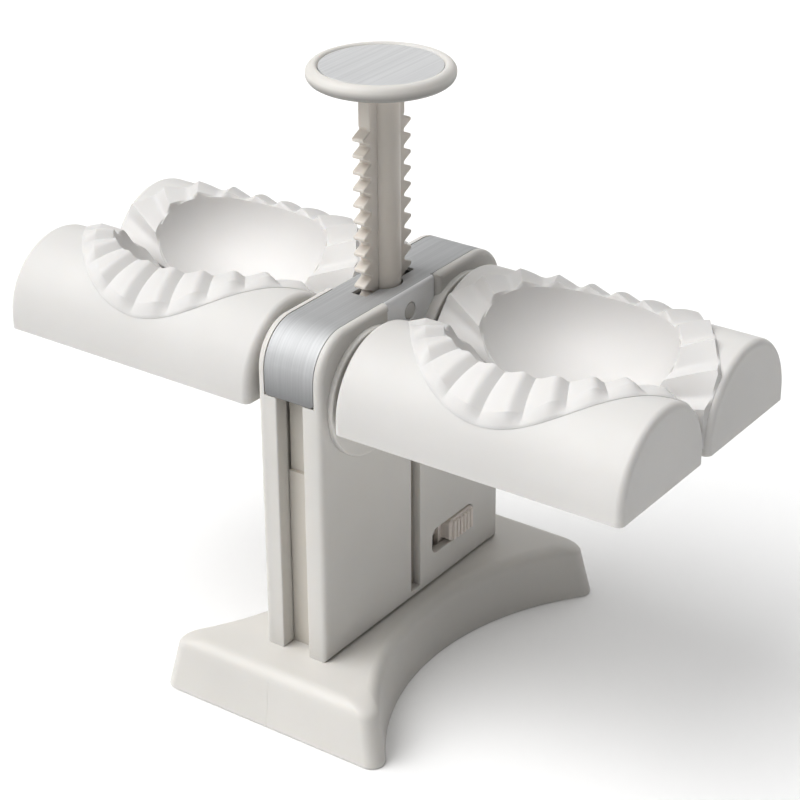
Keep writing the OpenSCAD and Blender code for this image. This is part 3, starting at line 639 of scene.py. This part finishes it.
def make_materials():
    """The materials by their slots; the cream plastic gets a painted shadow on the knob's lower
    edge.
    """
    made = {
        # The cream plastic's last entry is a painted shadow on the knob's lower edge
        "cream_plastic": (moulded_plastic, (0.745, 0.73, 0.703), 0.46, 0.08,
                          (0.1795, 0.1816, 0.1833, 0.58)),
        "wing_plastic": (moulded_plastic, (0.735, 0.725, 0.71), 0.50),
        "mould_plastic": (moulded_plastic, (0.755, 0.745, 0.735), 0.50),
        "inner_plastic": (moulded_plastic, (0.72, 0.69, 0.64), 0.42),
        "rod_plastic": (moulded_plastic, (0.76, 0.72, 0.67), 0.42),
        "button_plastic": (moulded_plastic, (0.88, 0.82, 0.77), 0.45),
        "underside_plastic": (moulded_plastic, (0.72, 0.70, 0.67), 0.55, 0.2),
        "gear_nylon": (moulded_plastic, (0.80, 0.79, 0.75), 0.45),
        # The sheet is painted darker on its lower skirts, a painted dim reflection
        "brushed_sheet": (brushed_steel, (0.66, 0.665, 0.67), 0.70, 0, (0.100, 0.110, 0.62),
                          # This setting paints the side flaps and their bends paler, a painted
                          # reflection of light
                          (0.0088, (0.97, 0.975, 0.98))),
        "brushed_disc": (brushed_steel, (0.88, 0.885, 0.89), 0.50, 40),
        "screw_steel": (plain_steel, (0.56, 0.56, 0.57), 0.3),
        "pin_steel": (plain_steel, (0.55, 0.55, 0.56), 0.25),
        "spring_steel": (plain_steel, (0.5, 0.5, 0.52), 0.28),
        "pad_rubber": (soft_rubber, (0.06, 0.06, 0.06), 0.75),
    }
    return {name: kind(name, *looks) for name, (kind, *looks) in made.items()}


def paint_cad_nodes(materials):
    for part in frame["record"]["subparts"]:
        node = frame["nodes"][part["node"]]
        for place in node.material_slots:
            place.material = materials[part["material_slot"]]


# Base

def base_outline(inset):
    """The waisted outline, moved in by an inset, with round corners and a parting line."""
    reach = WAIST_RADIUS + inset + BASE_CORNER
    corner_y = BASE_DEPTH / 2 - inset - BASE_CORNER
    lean = math.asin(corner_y / reach)
    corner_x = WAIST_CENTRE - reach * math.cos(lean)
    quarter = []
    for i in range(WAIST_STEPS):
        a = lean * i / WAIST_STEPS
        quarter.append((WAIST_CENTRE - (WAIST_RADIUS + inset) * math.cos(a),
                        (WAIST_RADIUS + inset) * math.sin(a)))
    for i in range(CORNER_STEPS + 1):
        a = -lean + (math.pi / 2 + lean) * i / CORNER_STEPS
        quarter.append((corner_x + BASE_CORNER * math.cos(a),
                        corner_y + BASE_CORNER * math.sin(a)))
    back = quarter + [(-x, y) for x, y in quarter[::-1]]
    front = [(x, -y) for x, y in back[-2:0:-1]]
    middle = next(i for i in range(1, len(front)) if front[i][0] > 0 and front[i - 1][0] < 0)
    low = front[middle][1]
    groove = PARTING_DEPTH if inset < PARTING_INSET else 0.0
    line = [(-PARTING_HALF, low), (0.0, low + groove), (PARTING_HALF, low)]
    return back + front[:middle] + line + front[middle:]


def add_base(materials):
    side_top = BASE_HEIGHT - BASE_EDGE
    inside = BASE_WALL + BASE_FLARE
    levels = [(BASE_HEIGHT - BASE_TOP, inside), (0, inside), *FOOT_LEVELS, (side_top, BASE_FLARE)]
    for i in range(1, BASE_EDGE_STEPS + 1):
        a = math.pi / 2 * i / BASE_EDGE_STEPS
        levels.append((side_top + BASE_EDGE * math.sin(a),
                       BASE_FLARE + BASE_EDGE * (1 - math.cos(a))))
    rows = [base_outline(inset) for _, inset in levels]
    count = len(rows[0])
    vertices = [(x, y, z) for (z, _), row in zip(levels, rows) for x, y in row]
    faces = []
    for k in range(len(rows) - 1):
        faces += band(k * count, (k + 1) * count, count)
    for k in (0, len(rows) - 1):
        faces += cap([rows[k]], [k * count])
    piece = joined("base_shell", [new_object("base_skin", vertices, faces)])
    dress(piece, "stand", "cream_plastic", materials, "base")


# Column

def head_outline(floor, inset):
    """Side view of the column, counter-clockwise, as (y, z)."""
    edge, top, radius = HALF_DEPTH - inset, HEAD_HEIGHT - inset, HEAD_ROUND - inset
    return ([(-edge, floor), (edge, floor)]
            + arc(edge - radius, top - radius, radius, 0, 90, HEAD_STEPS)
            + arc(-edge + radius, top - radius, radius, 90, 180, HEAD_STEPS))


def shell_plate(name, axis, with_lock):
    """A shell's outer layer, with the notch for the flap, the slot and the seats of the bushes."""
    outline = head_outline(BASE_HEIGHT, 0)
    middle = next(i for i, (y, z) in enumerate(outline) if z > HEAD_HEIGHT - 0.01 and y < 0)
    run, half, floor = FLAP_HALF + NOTCH_RUN, FLAP_HALF + NOTCH_GAP, FLAP_FLOOR - NOTCH_GAP
    notch = filleted([(run, HEAD_HEIGHT, 0), (half, HEAD_HEIGHT, NOTCH_CORNER),
                      (half, floor, NOTCH_CORNER), (-half, floor, NOTCH_CORNER),
                      (-half, HEAD_HEIGHT, NOTCH_CORNER), (-run, HEAD_HEIGHT, 0)])
    outline = outline[:middle] + notch + outline[middle:]
    loops = [outline, box_loop(-SLOT_HALF, SLOT_FLOOR, SLOT_HALF, SLOT_TOP, 0, True)]
    loops += [circle_loop(side * SHAFT_Y, SHAFT_Z, BUSH_SEAT) for side in (-1, 1)]
    softness = [1.0, SLOT_SOFTNESS, BORE_SOFTNESS, BORE_SOFTNESS]
    if with_lock:
        loops.append(box_loop(LOCK_START, LOCK_Z - LOCK_HALF, LOCK_START + LOCK_LENGTH,
                              LOCK_Z + LOCK_HALF, LOCK_CORNER, True, 8))
        softness.append(SLOT_SOFTNESS)
    return slab(name, loops, soft_levels(RIM_X, HALF_WIDTH, 0, COLUMN_EDGE, 6), axis, softness)


def shell_rib(name, axis):
    """The inner layer: the ribs beside the channels and the head under the steel cover."""
    head = [p for p in head_outline(RIB_FLOOR, COVER_SINK) if p[1] > COVER_FLOOR]
    outline = [(-HALF_DEPTH, BASE_HEIGHT), (-CHAMBER_Y, BASE_HEIGHT), (-CHAMBER_Y, CHAMBER_TOP),
               (CHAMBER_Y, CHAMBER_TOP), (CHAMBER_Y, BASE_HEIGHT), (HALF_DEPTH, BASE_HEIGHT),
               (HALF_DEPTH, RIB_FLOOR), (HALF_DEPTH - COVER_SINK, RIB_FLOOR), *head,
               (-HALF_DEPTH + COVER_SINK, RIB_FLOOR), (-HALF_DEPTH, RIB_FLOOR)]
    return slab(name, [outline], soft_levels(HALF_CHANNEL, RIM_X, CHANNEL_EDGE, 0), axis)


def boss_ring(name, axis, y):
    profile = [(BUSH_SEAT, RIM_X), (BUSH_SEAT, BOSS_FACE - BUSH_BEVEL),
               (BUSH_SEAT + BUSH_BEVEL, BOSS_FACE)]
    profile += [(r, x) for x, r in
                arc(BOSS_FACE - BOSS_EDGE, BOSS_RADIUS - BOSS_EDGE, BOSS_EDGE, 0, 90, 4)]
    profile += [(BOSS_RADIUS, RIM_X), (BUSH_SEAT, RIM_X)]
    return turned(name, profile, 72, axis, (y, SHAFT_Z))


def snap_boss(name, axis):
    profile = [(0, COVER_X - 1), (SNAP_RADIUS, COVER_X - 1), (SNAP_RADIUS, FLAP_X - SNAP_EDGE)]
    profile += [(r, x) for x, r in
                arc(FLAP_X - SNAP_EDGE, SNAP_RADIUS - SNAP_EDGE, SNAP_EDGE, 90, 0, 3)]
    profile.append((0, FLAP_X))
    return turned(name, profile, 32, axis, (0, SNAP_Z))


def add_column(materials):
    for place, axis in (("left", along_minus_x), ("right", along_x)):
        parts = [shell_plate("plate", axis, place == "right"), shell_rib("rib", axis),
                 snap_boss("snap", axis)]
        parts += [boss_ring("boss", axis, side * SHAFT_Y) for side in (-1, 1)]
        piece = joined(f"column_shell_{place}", parts)
        dress(piece, "stand", "cream_plastic", materials, f"column_{place}")


# Steel cover

def sheet_path():
    """The strip's outer line in (y, z), from a skirt's lower edge over the round to the flaps."""
    edge = HALF_DEPTH
    line = [(-edge, COVER_FLOOR + COVER_CORNER * (1 - math.cos(math.pi / 2 * i / 4)))
            for i in range(5)]
    line += [(-edge, COVER_FLOOR + 4)]
    line += arc(-edge + HEAD_ROUND, HEAD_HEIGHT - HEAD_ROUND, HEAD_ROUND, 180, 90, HEAD_STEPS)
    return line + [(-edge + HEAD_ROUND + 2, HEAD_HEIGHT), (-FLAP_HALF, HEAD_HEIGHT)]


def strip(name, side):
    """One bent half of the strip, as a rounded section drawn along its path."""
    path = sheet_path()
    vertices, faces = [], []
    e, t = COVER_EDGE, COVER_SHEET
    for i, (y, z) in enumerate(path):
        before, after = path[max(0, i - 1)], path[min(len(path) - 1, i + 1)]
        ty, tz = unit(after[0] - before[0], after[1] - before[1])
        ny, nz = tz, -ty
        drop = z - COVER_FLOOR
        half = COVER_X
        if drop < COVER_CORNER:
            round_off = math.sqrt(max(0, COVER_CORNER ** 2 - (COVER_CORNER - drop) ** 2))
            half -= COVER_CORNER - round_off
        section = [(-half + e, 0), (half - e, 0), (half - e * 0.3, e * 0.3), (half, e),
                   (half, t - e), (half - e, t), (-half + e, t), (-half, t - e), (-half, e),
                   (-half + e * 0.3, e * 0.3)]
        vertices += [(x, side * (y + ny * depth), z + nz * depth) for x, depth in section]
    n = len(section)
    for k in range(len(path) - 1):
        faces += band(k * n, (k + 1) * n, n)
    faces += [tuple(range(n)), tuple(range((len(path) - 1) * n, len(path) * n))]
    return new_object(name, vertices, faces)


def cover_middle(name):
    """The flat middle of the strip, with the plunger's slot."""
    wide, long = ROD_SLOT_X, ROD_SLOT_Y
    round_half = STEM_RADIUS + ROD_GAP
    lean = math.degrees(math.asin(wide / round_half))
    hole = [(wide, long), (wide, round_half * math.cos(math.radians(lean)))]
    hole += arc(0, 0, round_half, 90 - lean, -90 + lean, 14)[1:]
    hole += [(wide, -long), (-wide, -long)]
    hole += arc(0, 0, round_half, 270 - lean, 90 + lean, 14)
    hole += [(-wide, long)]
    side = FLAP_X - COVER_BEND
    levels = soft_levels(HEAD_HEIGHT - COVER_SHEET, HEAD_HEIGHT, 0, COVER_EDGE, 3)
    return slab(name, [box_loop(-side, -FLAP_HALF, side, FLAP_HALF), hole], levels, along_z,
                [0, 0.8])


def flap(name, axis):
    """A side flap: flat with its hole, and the bend that joins it to the strip."""
    bend_x, bend_z = FLAP_X - COVER_BEND, HEAD_HEIGHT - COVER_BEND
    outline = filleted([(-FLAP_HALF, FLAP_FLOOR, COVER_CORNER),
                        (FLAP_HALF, FLAP_FLOOR, COVER_CORNER),
                        (FLAP_HALF, bend_z, 0), (-FLAP_HALF, bend_z, 0)])
    loops = [outline, circle_loop(0, SNAP_Z, SNAP_RADIUS + SNAP_GAP)]
    flat = slab(name, loops, soft_levels(COVER_X, FLAP_X, 0, FLAP_EDGE, 3), axis)
    section = arc(bend_x, bend_z, COVER_BEND, 0, 90, 8)
    section += arc(bend_x, bend_z, COVER_BEND - COVER_SHEET, 90, 0, 4)
    vertices, faces = [], []
    n = len(section)
    ends = (-FLAP_HALF, -FLAP_HALF + FLAP_EDGE, FLAP_HALF - FLAP_EDGE, FLAP_HALF)
    for y in ends:
        inset = 0.12 if abs(y) == FLAP_HALF else 0.0
        vertices += [axis(y, z, x) for x, z in offset_loop(section, inset)]
    for k in range(len(ends) - 1):
        faces += band(k * n, (k + 1) * n, n)
    for k in (0, len(ends) - 1):
        faces += cap([section], [k * n])
    return joined(name, [flat, new_object("bend", vertices, faces)])


def add_steel_cover(materials):
    parts = [strip("front_half", 1), strip("rear_half", -1), cover_middle("middle"),
             flap("right_flap", along_x), flap("left_flap", along_minus_x)]
    piece = joined("steel_strip", parts, 30)
    dress(piece, "stand", "brushed_sheet", materials, "steel_cover")


# Plunger

def rack_corners():
    """Corners of one toothed fin in (y, z), from its lower end up."""
    corners = [(RACK_TIP, ROD_BOTTOM, 0.6), (RACK_TIP, RACK_BOTTOM - TOOTH_PITCH / 2, 0.4)]
    for i in range(RACK_TEETH):
        middle = RACK_BOTTOM + (i + 0.5) * TOOTH_PITCH
        for y, side, soft in ((RACK_ROOT, -1, ROOT_SOFT), (RACK_TIP, -1, TIP_SOFT),
                              (RACK_TIP, 1, TIP_SOFT), (RACK_ROOT, 1, ROOT_SOFT)):
            flank = (y - RACK_LINE) * math.tan(math.radians(PRESSURE_ANGLE))
            half = TOOTH_PITCH / 4 - TOOTH_PLAY / 2 - flank
            corners.append((y, middle + side * half, soft))
    top = RACK_BOTTOM + RACK_TEETH * TOOTH_PITCH
    return corners + [(RACK_ROOT, top, ROOT_SOFT), (FIN_NECK, top + FIN_NECK - RACK_ROOT, 0.8),
                      (FIN_NECK, KNOB_FLOOR, 0)]


def fin(name, side):
    """A toothed fin; the rear one has the notch that the lock's tongue catches."""
    corners = [(FIN_ROOT, KNOB_FLOOR, 0), (FIN_ROOT, ROD_BOTTOM, 0)] + rack_corners()
    if side > 0:
        low, high = CATCH_Z - CATCH_HALF, CATCH_Z + CATCH_HALF
        notch = [(RACK_TIP, low, 0), (CATCH_Y, low, 0), (CATCH_Y, high, 0), (RACK_TIP, high, 0)]
        corners = corners[:3] + notch + corners[3:]
    loop = [(side * y, z) for y, z in filleted(corners)]
    if side < 0:
        loop.reverse()
    half = FIN_THICKNESS / 2
    return slab(name, [loop], soft_levels(-half, half, FIN_EDGE, FIN_EDGE, 4), along_x)


def add_plunger(materials):
    stem_top = KNOB_FLOOR + KNOB_SEAT
    stem = [(0, BORE_TOP), (BORE_RADIUS, BORE_TOP), (BORE_RADIUS, ROD_BOTTOM),
            (STEM_RADIUS - STEM_EDGE, ROD_BOTTOM), (STEM_RADIUS, ROD_BOTTOM + STEM_EDGE),
            (STEM_RADIUS, stem_top), (0, stem_top)]
    parts = [turned("stem", stem, 64, along_z), fin("front_fin", -1), fin("rear_fin", 1)]
    dress(joined("toothed_rod", parts), "plunger", "rod_plastic", materials, "plunger_rod")

    edge_x = KNOB_RADIUS - KNOB_EDGE
    profile = [(0, KNOB_FLOOR)] + arc(edge_x, KNOB_FLOOR + KNOB_EDGE, KNOB_EDGE, -90, 0, 10)
    profile += arc(edge_x, TOTAL_HEIGHT - KNOB_EDGE, KNOB_EDGE, 0, 90, 12)
    profile += arc(DISC_SEAT + KNOB_LIP, TOTAL_HEIGHT - KNOB_LIP, KNOB_LIP, 90, 180, 6)
    profile += [(DISC_SEAT, DISC_FLOOR), (0, DISC_FLOOR)]
    knob = joined("knob_cap", [turned("cap", profile, 128, along_z)])
    dress(knob, "plunger", "cream_plastic", materials, "knob")

    profile = [(0, DISC_FLOOR), (DISC_RADIUS, DISC_FLOOR), (DISC_RADIUS, DISC_TOP - DISC_EDGE),
               (DISC_RADIUS - DISC_BEVEL, DISC_TOP - DISC_BEVEL),
               (DISC_RADIUS - DISC_EDGE, DISC_TOP), (0, DISC_TOP)]
    disc = joined("steel_disc", [turned("disc", profile, 128, along_z)], 60)
    dress(disc, "plunger", "brushed_disc", materials, "knob_disc")


# Lock

def add_lock(materials):
    front, back, half = BUTTON_FRONT, BUTTON_BACK, BUTTON_HALF
    face = HALF_WIDTH + BUTTON_STAND
    outline = box_loop(front, LOCK_Z - half, back, LOCK_Z + half, LOCK_CORNER - LOCK_GAP, False, 6)
    parts = [slab("button", [outline],
                  soft_levels(CHAMBER_X - 0.4, face - BUTTON_SINK, 0, 0.6), along_x)]
    margin = 2
    pitch = (back - front - 2 * margin) / (RIB_COUNT - 1)
    for i in range(RIB_COUNT):
        y = front + margin + i * pitch
        loop = box_loop(y - RIB_HALF, LOCK_Z - half + 0.5, y + RIB_HALF, LOCK_Z + half - 0.5, 0.4)
        parts.append(slab("rib", [loop], soft_levels(face - RIB_DEPTH, face, 0, 0.35, 4), along_x))
    reach = LOCK_HALF + PLATE_LAP
    parts.append(soft_box("plate", (CHAMBER_X - 2, PLATE_FRONT, LOCK_Z - reach),
                          (CHAMBER_X - LOCK_GAP, back, LOCK_Z + reach), 0.2))
    parts.append(soft_box("tongue", (-FIN_THICKNESS / 2, TONGUE_FRONT, LOCK_Z - TONGUE_HALF),
                          (CHAMBER_X - 1.5, TONGUE_FRONT + TONGUE_THICKNESS, LOCK_Z + TONGUE_HALF),
                          0.2))
    dress(joined("lock_button", parts), "lock", "button_plastic", materials, "lock_slider")


# Moulds

def bowl_width(x):
    """Half the bowl's width, and its depth, at a place along the wings."""
    return BOWL_RADIUS * (1 - min(1.0, abs(x) / BOWL_HALF) ** BOWL_POWER) ** (1 / BOWL_POWER)


def outer_edge(a):
    """Distance from the mould's middle to the rim's border, in the direction a of the skin."""
    draw = (MOULD_REACH - MOULD_SHOULDER) / MOULD_HALF ** 2
    root = math.sqrt(math.sin(a) ** 2 + 4 * MOULD_REACH * draw * math.cos(a) ** 2)
    crown = 2 * MOULD_REACH / (math.sin(a) + root)
    return min(crown, MOULD_HALF / max(0.001, abs(math.cos(a))))


def in_bowl(x, s):
    if abs(x) >= BOWL_HALF:
        return False
    turn = s / SKIN_RADIUS
    y = SHAFT_Y - SKIN_RADIUS * math.cos(turn)
    z = SKIN_RADIUS * math.sin(turn) - BOWL_RISE
    return bowl_width(x) > math.hypot(y, z)


def inner_edge(a):
    """Distance from the mould's middle to the bowl's edge, found by halving."""
    low, high = 10.0, outer_edge(a)
    for _ in range(30):
        mid = (low + high) / 2
        if in_bowl(mid * math.cos(a), mid * math.sin(a)):
            low = mid
        else:
            high = mid
    return (low + high) / 2


def pleat_shape(t):
    """Height of the folds from 0 to 1, with rounded ridges and crisp valleys; t counts pleats."""
    u = t % 1.0
    steep, gentle = u / PLEAT_STEEP, (1 - u) / (1 - PLEAT_STEEP)
    near = max(0.0, 1 - abs(steep - gentle) / RIDGE_SOFT)
    return (min(steep, gentle) - RIDGE_SOFT * near * near / 4) / (1 - RIDGE_SOFT / 4)


def skin_point(x, s, radius, side):
    """A point over the wing: s runs round the wing from the seam."""
    turn = s / SKIN_RADIUS
    return (x, side * (SHAFT_Y - radius * math.cos(turn)), SHAFT_Z + radius * math.sin(turn))


def mould_column(t, side, raised, centre):
    """One line of the mould's skin, from its border over the rim and down into the bowl."""
    a = math.pi * t / PLEAT_COUNT
    outer, inner = outer_edge(a), inner_edge(a)
    fold = pleat_shape(t)
    if not raised:
        fold = 1 - fold
    border = WING_RADIUS - 0.05
    line = [skin_point(centre + outer * math.cos(a), outer * math.sin(a), border, side)]
    width = outer - inner
    calm = 1 - min(1.0, inner * math.sin(a) / SEAM_FADE)
    slope = FRONT_SLOPE if raised else REAR_SLOPE
    last = RIM_STARTS[-1]
    for way in RIM_STARTS + tuple(last + (width - last) * row for row in RIM_ROWS):
        share = fold * min(1.0, way / slope)
        share += (0.5 - share) * calm * max(0.0, way / width - SEAM_START) / (1 - SEAM_START)
        rise = (PLEAT_HEIGHT + VALLEY_DEPTH) * share - VALLEY_DEPTH
        outer_round = min(1.0, way / 0.8 + 0.25) ** 0.5
        inner_round = min(1.0, (width - way) / 0.7 + 0.35) ** 0.5
        radius = WING_RADIUS + (RIM_THICKNESS + rise) * (outer_round * inner_round)
        reach = outer - way
        line.append(skin_point(centre + reach * math.cos(a), reach * math.sin(a), radius, side))
    x, s = inner * math.cos(a), inner * math.sin(a)
    y = abs(skin_point(0, s, SKIN_RADIUS, 1)[1])
    lean = math.asin(min(1.0, y / max(y, bowl_width(x))))
    for row in BOWL_ROWS:
        wide = bowl_width(x * row) - BOWL_SKIN
        tilt = max(lean * row, math.asin(min(1.0, SEAM_GAP / wide)))
        line.append((centre + x * row, side * wide * math.sin(tilt),
                     SHAFT_Z + BOWL_RISE - wide * math.cos(tilt)))
    return line


def make_mould(name, centre, side, raised):
    """A half rim with its half bowl, and a hem along the seam that covers the wing's cut."""
    places = [k + step for k in range(PLEAT_COUNT) for step in PLEAT_STEPS] + [PLEAT_COUNT]
    lines = [mould_column(t, side, raised, centre) for t in places]
    hems = [[(x, y, z - SEAM_HEM) for x, y, z in line] for line in (lines[0], lines[-1])]
    lines = [hems[0]] + lines + [hems[1]]
    count = len(lines[0])
    vertices = [p for line in lines for p in line]
    faces = [
        (i * count + k, (i + 1) * count + k, (i + 1) * count + k + 1, i * count + k + 1)
        for i in range(len(lines) - 1)
        for k in range(count - 1)
    ]
    piece = new_object(name, vertices, faces)
    clean_normals(piece)
    sharp_by_angle(piece, MOULD_SHARP)
    return piece


def add_moulds(materials):
    for half, side, raised in (("front", -1, True), ("rear", 1, False)):
        for place, centre in (("left", -MOULD_X), ("right", MOULD_X)):
            piece = make_mould(f"{half}_mould_{place}", centre, side, raised)
            dress(piece, f"{half}_roller", "mould_plastic", materials, f"{half}_rim_{place}")


# Whole scene

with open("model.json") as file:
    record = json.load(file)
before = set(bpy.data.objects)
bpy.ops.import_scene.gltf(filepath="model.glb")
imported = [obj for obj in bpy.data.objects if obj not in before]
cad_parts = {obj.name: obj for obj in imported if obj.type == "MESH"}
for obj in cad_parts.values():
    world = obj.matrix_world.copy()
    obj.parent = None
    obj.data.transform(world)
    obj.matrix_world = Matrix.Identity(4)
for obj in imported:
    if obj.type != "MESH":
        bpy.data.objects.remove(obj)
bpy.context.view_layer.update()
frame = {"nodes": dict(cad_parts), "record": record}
add_camera()
add_floor()
add_studio()
all_materials = make_materials()
paint_cad_nodes(all_materials)
add_moulds(all_materials)
add_base(all_materials)
add_column(all_materials)
add_steel_cover(all_materials)
add_plunger(all_materials)
add_lock(all_materials)
